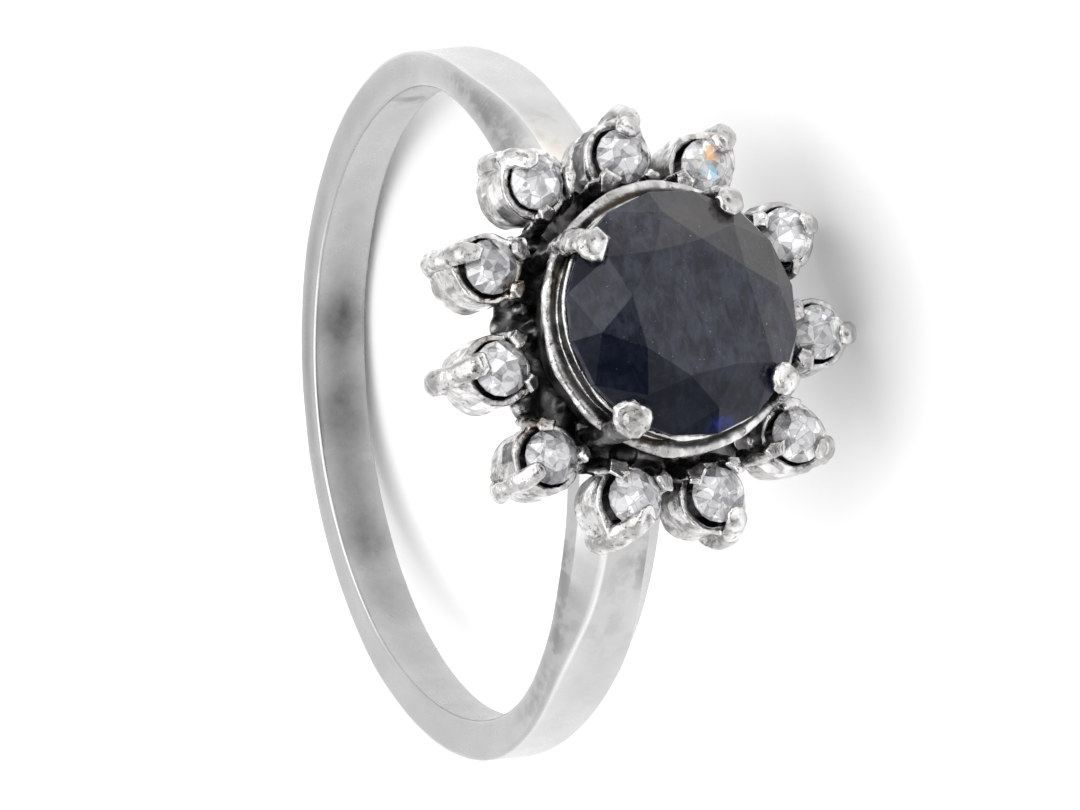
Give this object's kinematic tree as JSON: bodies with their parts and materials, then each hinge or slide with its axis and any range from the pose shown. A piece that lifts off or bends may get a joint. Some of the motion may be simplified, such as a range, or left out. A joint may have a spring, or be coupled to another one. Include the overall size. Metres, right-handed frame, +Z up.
{
  "type": "cluster ring",
  "caption": "Finger ring with a round dark stone in a claw collet, circled by petals that each hold a small round stone, on a plain band with bevelled shoulders.",
  "frame": {"origin": "centre of the finger hole, on its axis, midway across the band", "axes": "the ring lies on its side: +Z up, +X towards the head, which lies on its lowest petal; the finger hole's axis leans from +Z by the angle at which the ring rests"},
  "size_m": [0.0243, 0.0194, 0.0124],
  "materials": {
    "silver": "satin silver, worn, with dark tarnish in the recesses",
    "dark_stone": "polished facets over a near black, blue body",
    "clear_stone": "polished facets, clear and bright"
  },
  "bodies": {
    "root": {"band_and_setting": "silver", "centre_stone": "dark_stone", "side_stone_01": "clear_stone", "side_stone_02": "clear_stone", "side_stone_03": "clear_stone", "side_stone_04": "clear_stone", "side_stone_05": "clear_stone", "side_stone_06": "clear_stone", "side_stone_07": "clear_stone", "side_stone_08": "clear_stone", "side_stone_09": "clear_stone", "side_stone_10": "clear_stone", "side_stone_11": "clear_stone"}
  },
  "joints": []
}
